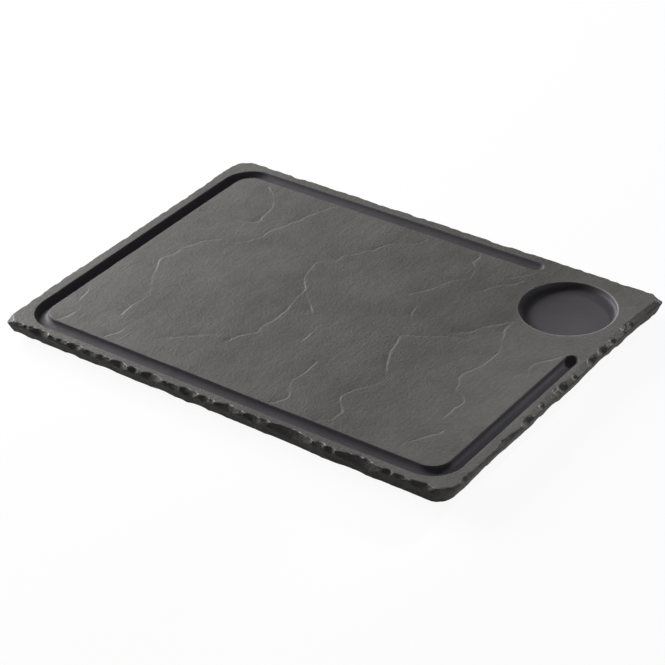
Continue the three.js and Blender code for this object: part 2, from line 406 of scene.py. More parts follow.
def cleftRelief(points):
    # height of the cleft face at points, and how near each lies to a step, for the highlight painted along it
    height = np.zeros(len(points))
    paintedHighlight = np.zeros(len(points))
    for line, stops in cleftLines:
        starts, runs = line[:-1], np.diff(line, axis=0)
        lengths = np.hypot(*runs.T)
        low, high = line.min(0) - cleft["reach"], line.max(0) + cleft["reach"]
        near = np.flatnonzero(((points > low) & (points < high)).all(axis=1))
        offsets = points[near, None] - starts
        along = np.clip((offsets * runs).sum(2) / lengths**2, 0, 1)
        gaps = offsets - along[:, :, None] * runs
        distance = np.hypot(gaps[:, :, 0], gaps[:, :, 1])
        best = distance.argmin(1)
        row = np.arange(len(near))
        way = runs[best] / lengths[best][:, None]
        away = offsets[row, best]
        onHighSide = way[:, 1] * away[:, 0] - way[:, 0] * away[:, 1] > 0
        far = distance[row, best]
        place = stops[best] + along[row, best] * lengths[best]
        length = stops[-1]
        taper = min(cleft["taper"], length * cleft["taperShare"])
        fade = smoothStep(np.minimum(place, length - place) / taper)
        spot = np.column_stack([place, np.full(len(near), length), np.zeros(len(near))])
        weak, strong = cleft["strength"]
        swing = cleft["strengthSwing"] * wander(spot, cleft["strengthSize"])
        fade *= weak + (strong - weak) * smoothStep(0.5 + swing)
        fade *= min(1, cleft["leastStrength"] + length / cleft["fullLength"])
        above = cleft["lift"] * np.exp(-far / cleft["highReach"])
        below = -cleft["dip"] * np.exp(-far / cleft["lowReach"])
        middle = (cleft["lift"] - cleft["dip"]) / 2
        share = np.clip(far / (cleft["width"] / 2), 0, 1)
        height[near] += fade * (middle * (1 - share) + share * np.where(onHighSide, above, below))
        # nearness to the step weighs the highlight painted along it
        paintedHighlight[near] = np.maximum(paintedHighlight[near], fade * np.exp(-(far / cleft["width"] * 2) ** 2))
    inset = insetFrom(points, 0, board["cornerRadii"]) - board["stripInset"]
    calm = smoothStep(inset / cleft["edgeFade"])
    flat = flatPoints(points)
    fineSwell = cleft["fineSwell"] * wander(flat, cleft["swellSize"] / 3, patch=90)
    swell = cleft["swell"] * (wander(flat, cleft["swellSize"]) + fineSwell)
    rippled = flat / (*cleft["rippleSize"], 1)
    fineRipple = fineShare * wander(rippled * cleft["fineRipple"], 1, patch=30)
    swell += cleft["ripple"] * (wander(rippled, 1) + fineRipple)
    return np.clip(height + swell, *cleft["limits"]) * calm, paintedHighlight * calm


print("cleft lines laid:", len(cleftLines))

# Knapped edge: scars are bites of balls into the edge, given by half their length along it and their bite
knapping = {
    # ridges between scars along the front, in mm from the left end
    "frontRidges": [
        14, 19, 35, 41, 51, 62, 75, 86, 100, 108, 127, 141, 153, 167, 187, 203, 237, 246, 254, 286, 293,
        305, 324,
    ],
    "frontBite": 1.1,
    "frontBitePerHalf": 0.12,
    "frontVariation": (0.55, 1.45),
    "frontTilt": (8, 36),
    # along the right side, as mm from the front end, half length, bite and tilt: scars in the edge, long
    # bevels that keep the look of the face, and scars in the middle of the bevels
    "rightScars": [(30, 27, 1.0, 24), (60, 13, 1.7, 38)],
    "rightBevels": [(112, 36, 2.0, 54), (150, 30, 2.1, 55), (200, 38, 2.1, 54)],
    "bevelScars": [
        (84, 4, 0.7, 46), (101, 2.2, 0.5, 52), (119, 3, 0.6, 45), (137, 1.8, 0.5, 50), (157, 3.6, 0.7, 44),
        (170, 3, 0.6, 52), (182, 2.2, 0.6, 44), (196, 2.8, 0.6, 48), (204, 2.2, 0.6, 40),
    ],
    "bevelMiddle": {"inset": 1.7, "drop": 1.2},
    # short chips along the front, over the scars
    "chipStart": 19,
    "chipStop": 12,
    "chipPitch": 6,
    "chipDrift": (-3, 3),
    "chipHalf": (1.2, 4),
    "chipBite": (0.3, 1.5),
    "chipTilt": (5, 60),
    # how much of its normal points left or back where the outline counts as left, as back or as far
    "leftFacing": 0.9,
    "backFacing": 0.8,
    "farFacing": 0.2,
    # scars along the back and the left side, which stays whole at its back end
    "farPitch": 11,
    "farLeftStop": 70,
    "farHalf": (2.5, 9),
    "farBite": (0.0, 0.4),
    "farTilt": (30, 65),
    # the lower edge stays whole round the front right corner and towards the back of the right side
    "wholeCorner": (55, 22),
    "wholeRight": 5,
    "wholeStart": 75,
    "lowerPitch": 14,
    "lowerHalf": (4, 11),
    "lowerBite": (0.1, 0.9),
    "lowerTilt": (-65, -30),
    # shallow scars on the side, placed by their share of its height
    "wallPlace": (0.1, 0.9),
    "wallPitch": 13,
    "wallHalf": (4, 8),
    "wallBite": (0.1, 0.35),
    # small bites along the line where the scars end on the rim
    "nibbleDrift": 3,
    "nibblePitch": 4.5,
    "nibbleShare": 0.6,
    "nibbleHalf": (0.8, 4.2),
    "nibbleBite": (0.1, 0.9),
    "nibbleTilt": (20, 70),
    "farNibble": 0.5,
    "bevelNibble": 0.15,
    "bevelStart": -45,
    "bevelWidth": 4,
    "facetReach": 13,
    # facets on the front left and back right corners: direction in plan, half length, bite, tilt
    "leftFacet": (215, 13, 2.4, 60),
    "rightFacet": (28, 13, 2.3, 62),
    "roughness": 0.08,
    "roughSize": 3.2,
    "fineRough": 2.4,
    "roughLift": 0.4,
    # rounds of carving, and the largest share of the way to the carving line
    "rounds": 3,
    "mostCarved": 0.85,
    # depths of carving: the most on an untouched rim, where a break is full, the most of a bevel on a side
    # that still looks broken, and the least of a chip on the face
    "untouched": 0.02,
    "brokenOver": 0.3,
    "wallBroken": 0.2,
    "chippedFrom": 0.15,
    # how broken a face of the edge is before it takes the look of the break
    "brokenShare": 0.4,
    # depths between which a fresh edge gets a painted glint
    "glintOver": 0.1,
    "glintUntil": 0.15,
    "glintFade": 0.6,
}
# every point of the edge is carved towards a line inside the board, so that the rows keep their order
carvingLine = {"inset": 8.5, "drop": 4.5}
upperEdge = (0, topZ)
wallTop = topZ - board["edgeHeight"]
# rows of points on the edge: insets on the rim, drops on the edge, shares of the side, insets underneath
edgeRows = {
    "rim": (board["stripInset"], 4.75, 4.3, 3.85, 3.4, 2.95, 2.5, 2.1, 1.7, 1.3, 0.9, 0.5, 0.15),
    "edge": (0.15, 0.6, 1.1, 1.7, 2.4, 3.1),
    "side": (0.06, 0.16, 0.27, 0.38, 0.49, 0.6, 0.71, 0.82, 0.91, 0.97, 1),
    "under": (0.9, 1.7, 2.6),
}


def scarBall(point, normal, edge, half, bite, tilt):
    # centre and radius of a ball that bites into an edge at (inset, z)
    radius = (half**2 + bite**2) / (2 * bite)
    reach = radius - bite
    out = math.cos(math.radians(tilt)) * reach - edge[0]
    return (*(point + normal * out), edge[1] + math.sin(math.radians(tilt)) * reach, radius)


def between(limits):
    return limits[0] + (limits[1] - limits[0]) * rng.random()


def ballAt(points, normals, place, edge, half, depth, tilt):
    # a bite at the point of the outline that is nearest to a place
    at = np.hypot(*(points - place).T).argmin()
    return scarBall(points[at], normals[at], edge, half, depth, tilt)


def cornerBall(points, normals, corner, direction, half, depth, tilt):
    radius = board["cornerRadii"][corner]
    away = np.array([math.cos(math.radians(direction)), math.sin(math.radians(direction))])
    place = (np.array([halfLength, halfWidth]) - radius) * cornerSigns[corner] + away * radius
    return ballAt(points, normals, place, upperEdge, half, depth, tilt)


def largeScars(points, normals):
    undercut = undercutAt(points, normals)
    balls = []

    def bite(place, edge, half, depth, tilt):
        balls.append(ballAt(points, normals, place, edge, half, depth, tilt))

    ridges = knapping["frontRidges"]
    for start, stop in zip(ridges, ridges[1:]):
        half = (stop - start) / 2
        depth = knapping["frontBite"] + knapping["frontBitePerHalf"] * half
        depth *= between(knapping["frontVariation"])
        place = (-halfLength + (start + stop) / 2, -halfWidth)
        bite(place, upperEdge, half, depth, between(knapping["frontTilt"]))
    middle = knapping["bevelMiddle"]
    bevelEdge = (middle["inset"], topZ - middle["drop"])
    for scars, edge in ((knapping["rightScars"], upperEdge), (knapping["bevelScars"], bevelEdge)):
        for place, half, depth, tilt in scars:
            bite((halfLength, -halfWidth + place), edge, half, depth, tilt)
    balls.append(cornerBall(points, normals, frontLeft, *knapping["leftFacet"]))
    chipStop = 2 * halfLength - knapping["chipStop"]
    for place in np.arange(knapping["chipStart"], chipStop, knapping["chipPitch"]):
        spot = (place - halfLength + between(knapping["chipDrift"]), -halfWidth)
        tilt = between(knapping["chipTilt"])
        bite(spot, upperEdge, between(knapping["chipHalf"]), between(knapping["chipBite"]), tilt)
    onLeft = (normals[:, 0] < -knapping["leftFacing"]) & (points[:, 1] < knapping["farLeftStop"])
    far = np.flatnonzero((normals[:, 1] > knapping["backFacing"]) | onLeft)
    for at in far[:: round(knapping["farPitch"] / board["columnPitch"])]:
        tilt = between(knapping["farTilt"])
        bite(points[at], upperEdge, between(knapping["farHalf"]), between(knapping["farBite"]), tilt)
    nearCorner = (np.abs(points - (halfLength, -halfWidth)) < knapping["wholeCorner"]).all(axis=1)
    onRight = points[:, 0] > halfLength - knapping["wholeRight"]
    whole = nearCorner | (onRight & (points[:, 1] > knapping["wholeStart"]))
    for at in range(0, len(points), round(knapping["lowerPitch"] / board["columnPitch"])):
        tilt = between(knapping["lowerTilt"])
        half, depth = between(knapping["lowerHalf"]), between(knapping["lowerBite"])
        if not whole[at]:
            bite(points[at], (undercut[at], undersideZ), half, depth, tilt)
    for at in range(0, len(points), round(knapping["wallPitch"] / board["columnPitch"])):
        share = between(knapping["wallPlace"])
        edge = (share * undercut[at], wallTop - share * (wallTop - undersideZ))
        slope = math.degrees(math.atan2(undercut[at], wallTop - undersideZ))
        bite(points[at], edge, between(knapping["wallHalf"]), between(knapping["wallBite"]), -slope)
    return balls


def rightBevels(points, normals):
    balls = [cornerBall(points, normals, backRight, *knapping["rightFacet"])]
    for place, half, depth, tilt in knapping["rightBevels"]:
        spot = (halfLength, -halfWidth + place)
        balls.append(ballAt(points, normals, spot, upperEdge, half, depth, tilt))
    return balls


def carve(start, way, balls):
    # how far each point goes along its way to leave every ball that it lies in
    moved = np.zeros(len(start))
    for _ in range(knapping["rounds"]):
        for *centre, radius in balls:
            here = start + way * moved[:, None]
            offset = here - centre
            inside = np.flatnonzero((offset**2).sum(1) < radius**2)
            if len(inside) == 0:
                continue
            lean = (offset[inside] * way[inside]).sum(1)
            moved[inside] += np.sqrt(lean**2 + radius**2 - (offset[inside] ** 2).sum(1)) - lean
    return moved


def edgeProfile():
    # rows of the edge from the rim to the underside: inset, share of the undercut added to it, and z
    rows = [(inset, 0, topZ) for inset in edgeRows["rim"]]
    rows += [(0, 0, topZ - drop) for drop in edgeRows["edge"]]
    rows += [(0, share, wallTop - share * (wallTop - undersideZ)) for share in edgeRows["side"]]
    rows += [(inset, 1, undersideZ) for inset in edgeRows["under"]]
    return np.array(rows)


def setIn(points, normals, inset):
    # the outline moved in by an inset, kept in order where it is more than a corner's radius
    half = np.array([halfLength, halfWidth]) - inset[:, None]
    return np.clip(points - normals * inset[:, None], -half, half)


def edgeStrip(points, normals):
    profile = edgeProfile()
    count = len(points)
    undercut = undercutAt(points, normals)
    drift = normals * outlineDrift(points, normals)[:, None]
    start = np.concatenate([
        np.column_stack([setIn(points, normals, inset + share * undercut) + drift, np.full(count, z)])
        for inset, share, z in profile
    ])
    points = points + drift
    innerZ = np.full(count, topZ - carvingLine["drop"])
    inner = np.column_stack([points - normals * carvingLine["inset"], innerZ])
    way = np.tile(inner, (len(profile), 1)) - start
    reach = np.sqrt((way**2).sum(1))
    way /= reach[:, None]
    bevels = rightBevels(points, normals)
    bevelled = carve(start, way, bevels)
    balls = bevels + largeScars(points, normals)
    moved = carve(start, way, balls)
    onRim = profile[:, 2] == topZ
    untouched = (moved.reshape(len(profile), -1) < knapping["untouched"])[onRim]
    rimRows = np.where(untouched, np.arange(len(untouched))[:, None], -1).max(0).clip(0)
    nibbles = []
    for at in range(0, count, round(knapping["nibblePitch"] / board["columnPitch"])):
        at = (at + rng.integers(-knapping["nibbleDrift"], knapping["nibbleDrift"] + 1)) % count
        edge = (profile[rimRows[at], 0], topZ)
        size = rng.random() ** 2
        limits = (knapping["nibbleHalf"], knapping["nibbleBite"])
        half, depth = (low + (high - low) * size for low, high in limits)
        if normals[at, 1] > knapping["farFacing"] or normals[at, 0] < -knapping["leftFacing"]:
            depth *= knapping["farNibble"]
        onRight = points[at, 0] > halfLength - knapping["bevelWidth"]
        onBevel = onRight and points[at, 1] > knapping["bevelStart"]
        onFacet = np.hypot(*(points[at] + (halfLength, halfWidth))) < knapping["facetReach"]
        if rng.random() < (knapping["bevelNibble"] if onBevel or onFacet else knapping["nibbleShare"]):
            tilt = between(knapping["nibbleTilt"])
            nibbles.append(scarBall(points[at], normals[at], edge, half, depth, tilt))
    moved = np.maximum(moved, carve(start, way, balls + nibbles))
    moved = np.minimum(moved, knapping["mostCarved"] * reach)
    fineSize = knapping["roughSize"] / knapping["fineRough"]
    rough = wander(start, knapping["roughSize"]) + fineShare * wander(start, fineSize, patch=50)
    side = np.repeat((profile[:, 2] < topZ) & (profile[:, 0] == 0), count)
    broken = smoothStep((moved - bevelled) / knapping["brokenOver"])
    broken[side & (bevelled < knapping["wallBroken"])] = 1
    broken[:count] = 0
    moved[:count] = 0
    rough = knapping["roughness"] * (rough + knapping["roughLift"]) * broken
    verts = start + way * (moved + rough)[:, None]
    here = np.arange(count)
    there = (here + 1) % count
    quad = np.column_stack([here, count + here, count + there, there])
    faces = np.concatenate([quad + row * count for row in range(len(profile) - 1)])
    # fresh edges between the rim and the scars get a painted glint, a paler line where they catch the light
    fresh = moved - bevelled
    highlight = 1 - smoothStep((fresh - knapping["glintUntil"]) / knapping["glintFade"])
    highlight *= smoothStep(fresh / knapping["glintOver"]) * np.repeat(onRim, count)
    return verts, faces, broken, highlight, balls


def keepApart(points, gap):
    # drops points that share a cell of the given size with an earlier one
    cells = np.floor(points / gap).astype(int)
    _, first = np.unique(cells, axis=0, return_index=True)
    return points[np.sort(first)]


def clearOf(points, others, gap):
    taken = set()
    for cell in np.floor(others / gap).astype(int):
        taken.update((cell[0] + i, cell[1] + j) for i in (-1, 0, 1) for j in (-1, 0, 1))
    cells = np.floor(points / gap).astype(int)
    return points[[tuple(cell) not in taken for cell in cells]]


def circle(centre, radius, count):
    turn = np.arange(count) / count * 2 * math.pi
    return centre + radius * np.column_stack([np.cos(turn), np.sin(turn)])


def triangulate(ring, inner):
    # triangles of the region inside a ring, with the inner points as corners too
    points = np.concatenate([ring, inner])
    edges = [(i, (i + 1) % len(ring)) for i in range(len(ring))]
    result = delaunay_2d_cdt([Vector(point) for point in points], edges, [], 1, 1e-5)
    source = np.array([originals[0] if originals else -1 for originals in result[3]])
    faces = source[np.array(result[2])]
    return points, faces[(faces >= 0).all(axis=1)]


def topPoints():
    # rows along the groove, rings round the well and the groove's ends, rows along the clefts, and a fill
    line, normals = roundedOutline(groove["inset"], [groove["cornerRadius"]] * 4, groove["stationPitch"])
    gapStart = np.array([grooveStart[0], grooveEnd[1]]) - groove["stationGap"]
    inGap = (line > gapStart).all(axis=1)
    line, normals = line[~inGap], normals[~inGap]
    offsets = np.array(groove["rows"])
    hollows = [line] + [line + normals * offset for offset in np.concatenate([offsets, -offsets])]
    for end, outwards in ((grooveStart, (1, 0)), (grooveEnd, (0, 1))):
        hollows.append(end[None])
        for offset in offsets:
            ring = circle(end, offset, groove["endSegments"])
            hollows.append(ring[(ring - end) @ outwards > -groove["endOverlap"]])
    hollows += [circle(wellCentre, radius, well["segments"]) for radius in well["rings"]]
    hollows = np.concatenate(hollows)
    clefts = []
    for row in cleft["rows"]:
        clefts += [course + rightOf(course) * row for course, _ in cleftLines]
    clefts = keepApart(np.concatenate(clefts), cleft["leastGap"])
    clefts = clefts[
        (grooveOffset(clefts) > grooveHalf + groove["clearance"])
        & (wellOffset(clefts) > wellRadius + well["clearance"])
        & (insetFrom(clefts, 0, board["cornerRadii"]) > board["stripInset"] + cleft["margin"])
    ]
    pitch = board["fillPitch"]
    columns, rows = np.meshgrid(
        np.arange(-halfLength, halfLength, pitch), np.arange(-halfWidth, halfWidth, pitch * math.sqrt(3) / 2)
    )
    columns[1::2] += pitch / 2
    fill = np.column_stack([columns.ravel(), rows.ravel()])
    fill = fill + rng.uniform(-board["fillJitter"], board["fillJitter"], fill.shape)
    fill = fill[insetFrom(fill, 0, board["cornerRadii"]) > board["stripInset"] + board["fillMargin"]]
    fixed = np.concatenate([hollows, clefts])
    return np.concatenate([fixed, clearOf(fill, fixed, board["fillClearance"])])


def topFace(ring, balls):
    points, faces = triangulate(ring, topPoints())
    height, paintedHighlight = cleftRelief(points)
    verts = np.column_stack([points, topZ + height - hollowDepth(points)])
    down = np.tile([0.0, 0.0, -1.0], (len(verts), 1))
    moved = carve(verts, down, balls)
    moved[: len(ring)] = 0
    verts[:, 2] -= moved
    return verts, faces, paintedHighlight, moved


# Underside: a hollow that goes round a boss under the well, and round sockets for the pads
underside = {
    "hollowInset": 32,
    "hollowDepth": 2.5,
    "hollowCorner": 20,
    "draft": 2,
    "bossMargin": 4,
    "socketRadius": 7.3,
    "socketDepth": 1,
    "wallDraft": 0.25,
    "padInset": 18,
    "outlinePitch": 2.5,
    "bossSegments": 120,
    "socketSegments": 48,
    "leastGap": 0.12,
    "fillPitch": 7,
    "fillInset": 11,
    "fillClearance": 2.5,
}
padSides = {
    "foot_pad_front_left": (-1, -1),
    "foot_pad_front_right": (1, -1),
    "foot_pad_rear_left": (-1, 1),
    "foot_pad_rear_right": (1, 1),
}
padReach = np.array([halfLength, halfWidth]) - underside["padInset"]
padCentres = {name: padReach * sides for name, sides in padSides.items()}


def undersideHeight(points):
    deep = insetFrom(points, underside["hollowInset"], [underside["hollowCorner"]] * 4)
    ceiling = np.clip(deep / underside["draft"], 0, 1)
    fromBoss = wellOffset(points) - wellRadius - underside["bossMargin"]
    height = underside["hollowDepth"] * np.minimum(ceiling, np.clip(fromBoss / underside["wallDraft"], 0, 1))
    for centre in padCentres.values():
        within = underside["socketRadius"] - np.hypot(*(points - centre).T)
        height += underside["socketDepth"] * np.clip(within / underside["wallDraft"], 0, 1)
    return undersideZ + height


def bottomFace(ring):
    points = []
    for inset in (0, underside["draft"]):
        radius = underside["hollowCorner"] - inset
        inset += underside["hollowInset"]
        points.append(roundedOutline(inset, [radius] * 4, underside["outlinePitch"])[0])
    bossRadius = wellRadius + underside["bossMargin"]
    steps = (0, underside["wallDraft"])
    points += [circle(wellCentre, bossRadius + step, underside["bossSegments"]) for step in steps]
    for centre in padCentres.values():
        socket = underside["socketRadius"]
        points += [circle(centre, socket - step, underside["socketSegments"]) for step in steps]
    fixed = keepApart(np.concatenate(points), underside["leastGap"])
    pitch = underside["fillPitch"]
    columns, rows = np.meshgrid(
        np.arange(-halfLength, halfLength, pitch), np.arange(-halfWidth, halfWidth, pitch)
    )
    fill = np.column_stack([columns.ravel(), rows.ravel()])
    fill = fill[insetFrom(fill, 0, board["cornerRadii"]) > underside["fillInset"]]
    fill = clearOf(fill, fixed, underside["fillClearance"])
    points, faces = triangulate(ring, np.concatenate([fixed, fill]))
    return np.column_stack([points, undersideHeight(points)]), faces[:, ::-1]


def newMesh(name, verts, faces, materials, slots):
    mesh = bpy.data.meshes.new(name)
    mesh.from_pydata((np.asarray(verts) * mm).tolist(), [], [list(face) for face in faces])
    for material in materials:
        mesh.materials.append(material)
    mesh.polygons.foreach_set("material_index", np.asarray(slots, np.int32))
    mesh.polygons.foreach_set("use_smooth", np.ones(len(mesh.polygons), bool))
    mesh.update()
    piece = bpy.data.objects.new(name, mesh)
    bpy.context.scene.collection.objects.link(piece)
    return piece


# the board's materials, in the order of their slots
slotOf = {"cleft": 0, "sanded": 1, "knapped": 2, "moulded": 3}


def makeBoard(materials):
    outline, normals = roundedOutline(0, board["cornerRadii"], board["columnPitch"])
    count = len(outline)
    strip, stripFaces, broken, highlight, balls = edgeStrip(outline, normals)
    top, topFaces, paintedHighlight, topMoved = topFace(strip[:count, :2], balls)
    bottom, bottomFaces = bottomFace(strip[-count:, :2])
    # the top and the underside share their outer rings with the strip
    offset = len(strip)
    topMap = np.concatenate([np.arange(count), offset + np.arange(len(top) - count)])
    offset += len(top) - count
    lastRow = np.arange(len(strip) - count, len(strip))
    bottomMap = np.concatenate([lastRow, offset + np.arange(len(bottom) - count)])
    verts = np.concatenate([strip, top[count:], bottom[count:]])
    centres = top[topFaces].mean(axis=1)[:, :2]
    inGroove = grooveOffset(centres) < grooveHalf - groove["sandedMargin"]
    inWell = wellOffset(centres) < wellRadius - well["sandedMargin"]
    chipped = topMoved[topFaces].mean(axis=1) > knapping["chippedFrom"]
    topSlots = np.where(chipped, slotOf["knapped"], slotOf["cleft"])
    topSlots[inGroove | inWell] = slotOf["sanded"]
    isBroken = broken[stripFaces].mean(axis=1) > knapping["brokenShare"]
    stripSlots = np.where(isBroken, slotOf["knapped"], slotOf["cleft"])
    stripSlots[-len(edgeRows["under"]) * count:] = slotOf["moulded"]
    faces = [*stripFaces, *topMap[topFaces], *bottomMap[bottomFaces]]
    slots = np.concatenate([stripSlots, topSlots, np.full(len(bottomFaces), slotOf["moulded"])])
    piece = newMesh("porcelain_board", verts, faces, materials, slots)
    mesh = piece.data
    step = np.zeros(len(verts), np.float32)
    # a highlight painted along the well's lip, where its rounding catches the key light
    fromLip = (wellRadius - well["lipRadius"] / 2 - wellOffset(top[:, :2])) / well["lipRadius"]
    step[topMap] = np.maximum(paintedHighlight, board["wellLipHighlight"] * np.exp(-(2 * fromLip) ** 2))
    # painted glints along the fresh edges
    step[: len(strip)] = np.maximum(step[: len(strip)], board["edgeHighlight"] * highlight)
    mesh.attributes.new("paintedHighlight", "FLOAT", "POINT").data.foreach_set("value", step)
    mesh.set_sharp_from_angle(angle=math.radians(board["sharpAngle"]))
    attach(piece, "root")
    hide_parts("board_body")
    triangles = len(stripFaces) * 2 + len(topFaces) + len(bottomFaces)
    print("board made:", len(verts), "points,", triangles, "triangles")


# Foot pads: moulded plugs with a dished foot, a rounded edge and a thin ring cut round the side
pad = {
    "radius": 7,
    "height": 2.7,
    "edge": 0.8,
    "edgeSteps": 6,
    "topBevel": 0.2,
    "dishRadius": 4.6,
    "dishDepth": 0.35,
    "dishSteps": (0.35, 0.7, 0.85, 0.95),
    "dishLip": (0.25, 0.02),
    "ringLow": 1.5,
    "ringHigh": 2.0,
    "ringDepth": 0.18,
    "ringSlope": 0.15,
    "segments": 64,
    "sharpAngle": 40,
}


def makePads(material):
    radius, height, edge, dish = pad["radius"], pad["height"], pad["edge"], pad["dishRadius"]
    low, high, slope = pad["ringLow"], pad["ringHigh"], pad["ringSlope"]
    lipWidth, lipHeight = pad["dishLip"]
    ringRadius = radius - pad["ringDepth"]
    turns = np.linspace(0, math.pi / 2, pad["edgeSteps"])
    profile = [(0.0, pad["dishDepth"])]
    profile += [(dish * share, pad["dishDepth"] * (1 - share**4)) for share in pad["dishSteps"]]
    profile += [(dish, lipHeight), (dish + lipWidth, 0.0)]
    profile += [(radius - edge * (1 - math.sin(turn)), edge * (1 - math.cos(turn))) for turn in turns]
    profile += [(radius, low), (ringRadius, low + slope), (ringRadius, high - slope), (radius, high)]
    profile += [(radius, height - pad["topBevel"]), (radius - pad["topBevel"], height), (0.0, height)]
    profile = np.array(profile)
    count = pad["segments"]
    around = circle(np.zeros(2), 1, count)
    for name, centre in padCentres.items():
        rings = [np.column_stack([centre + around * r, np.full(count, z)]) for r, z in profile[1:-1]]
        verts = np.concatenate([[(*centre, profile[0, 1])]] + rings + [[(*centre, profile[-1, 1])]])
        here = np.arange(count)
        there = (here + 1) % count
        last = 1 + (len(rings) - 1) * count
        faces = [(0, 1 + b, 1 + a) for a, b in zip(here, there)]
        for ring in range(len(rings) - 1):
            first, second = 1 + ring * count, 1 + (ring + 1) * count
            faces += [(first + a, first + b, second + b, second + a) for a, b in zip(here, there)]
        faces += [(last + a, last + b, len(verts) - 1) for a, b in zip(here, there)]
        piece = newMesh("silicone_" + name, verts, faces, [material], np.zeros(len(faces)))
        piece.data.set_sharp_from_angle(angle=math.radians(pad["sharpAngle"]))
        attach(piece, "root")
        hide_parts(name)
    print("foot pads made:", len(padCentres))


# Materials
def linear(hexColour):
    # sRGB hex to linear colour
    values = [int(hexColour[i:i + 2], 16) / 255 for i in (1, 3, 5)]
    return (*(v / 12.92 if v <= 0.04045 else ((v + 0.055) / 1.055) ** 2.4 for v in values), 1.0)


def addNode(tree, kind, settings, inputs):
    node = tree.nodes.new("ShaderNode" + kind)
    for name, value in settings.items():
        setattr(node, name, value)
    for name, value in inputs.items():
        if isinstance(value, bpy.types.NodeSocket):
            tree.links.new(value, node.inputs[name])
        else:
            node.inputs[name].default_value = value
    return node


def perMetre(sizeMm):
    # texture scale for a feature of this size
    return 1 / (sizeMm * mm)


def newMaterial(name):
    material = bpy.data.materials.new(name)
    material.use_nodes = True
    tree = material.node_tree
    tree.nodes.clear()
    surface = addNode(tree, "BsdfPrincipled", {}, {"IOR": 1.5})
    addNode(tree, "OutputMaterial", {}, {"Surface": surface.outputs[0]})
    return material, tree, surface


def bodyColour(tree, look, tone):
    # dark to light by tone, with painted highlights along the steps, the well's lip and fresh edges where the
    # look has a highlight colour
    colour = addNode(tree, "Mix", {"data_type": "RGBA"}, {
        0: tone.outputs[0], 6: linear(look["dark"]), 7: linear(look["light"]),
    })
    if "highlightColour" in look:
        paintedHighlight = addNode(tree, "Attribute", {"attribute_name": "paintedHighlight"}, {})
        highlight = addNode(tree, "Math", {"operation": "MULTIPLY", "use_clamp": True}, {
            0: paintedHighlight.outputs["Fac"], 1: look["highlightShare"],
        })
        colour = addNode(tree, "Mix", {"data_type": "RGBA"}, {
            0: highlight.outputs[0], 6: colour.outputs[2], 7: linear(look["highlightColour"]),
        })
    return colour.outputs[2]


cloudRange = (0.3, 0.7)  # where most values of a noise texture lie


def finishSurface(tree, surface, look, colour, clouds, height):
    # the roughness follows the clouds, and the height gives the bump
    smooth, rough = look["roughness"]
    roughness = addNode(tree, "MapRange", {}, {
        "Value": clouds.outputs[0], "From Min": cloudRange[0], "From Max": cloudRange[1],
        "To Min": smooth, "To Max": rough,
    })
    bump = addNode(tree, "Bump", {}, {
        "Height": height.outputs[0], "Distance": look["bump"] * mm, "Strength": 1,
    })
    tree.links.new(colour, surface.inputs["Base Color"])
    tree.links.new(roughness.outputs[0], surface.inputs["Roughness"])
    tree.links.new(bump.outputs[0], surface.inputs["Normal"])
    surface.inputs["Specular IOR Level"].default_value = look["sheen"]


# In all these materials the grit is drawn coarser than it is, because it would vanish at this distance.

# Unglazed porcelain pressed in a slate-textured mould: matt, finely streaked along the short side, with
# cloudy tone and fine grit, and a painted highlight along the cleft steps and the well's lip
cleftPorcelain = {
    "dark": "#4b4a48",
    "light": "#72716e",
    # colour of the highlight painted along the cleft steps and the well's lip
    "highlightColour": "#8a8985",
    "highlightShare": 0.07,
    "streakWidth": 1.8,
    "streakLength": 8,
    "streakLean": -9,
    "cloudSize": 34,
    "gritSize": 1.9,
    # shares of clouds, streaks and grit in the tone, and what is taken off it
    "cloudTone": 0.9,
    "streakTone": 0.5,
    "gritTone": 0.6,
    "toneDrop": 0.5,
    # shares of grit and streaks in the height, where the streaks come up in patches of the clouds
    "gritHeight": 0.75,
    "streakHeight": (0.05, 0.4),
    "patchRange": (0.42, 0.62),
    "bump": 0.36,
    "roughness": (0.56, 0.7),
    "sheen": 0.3,
}


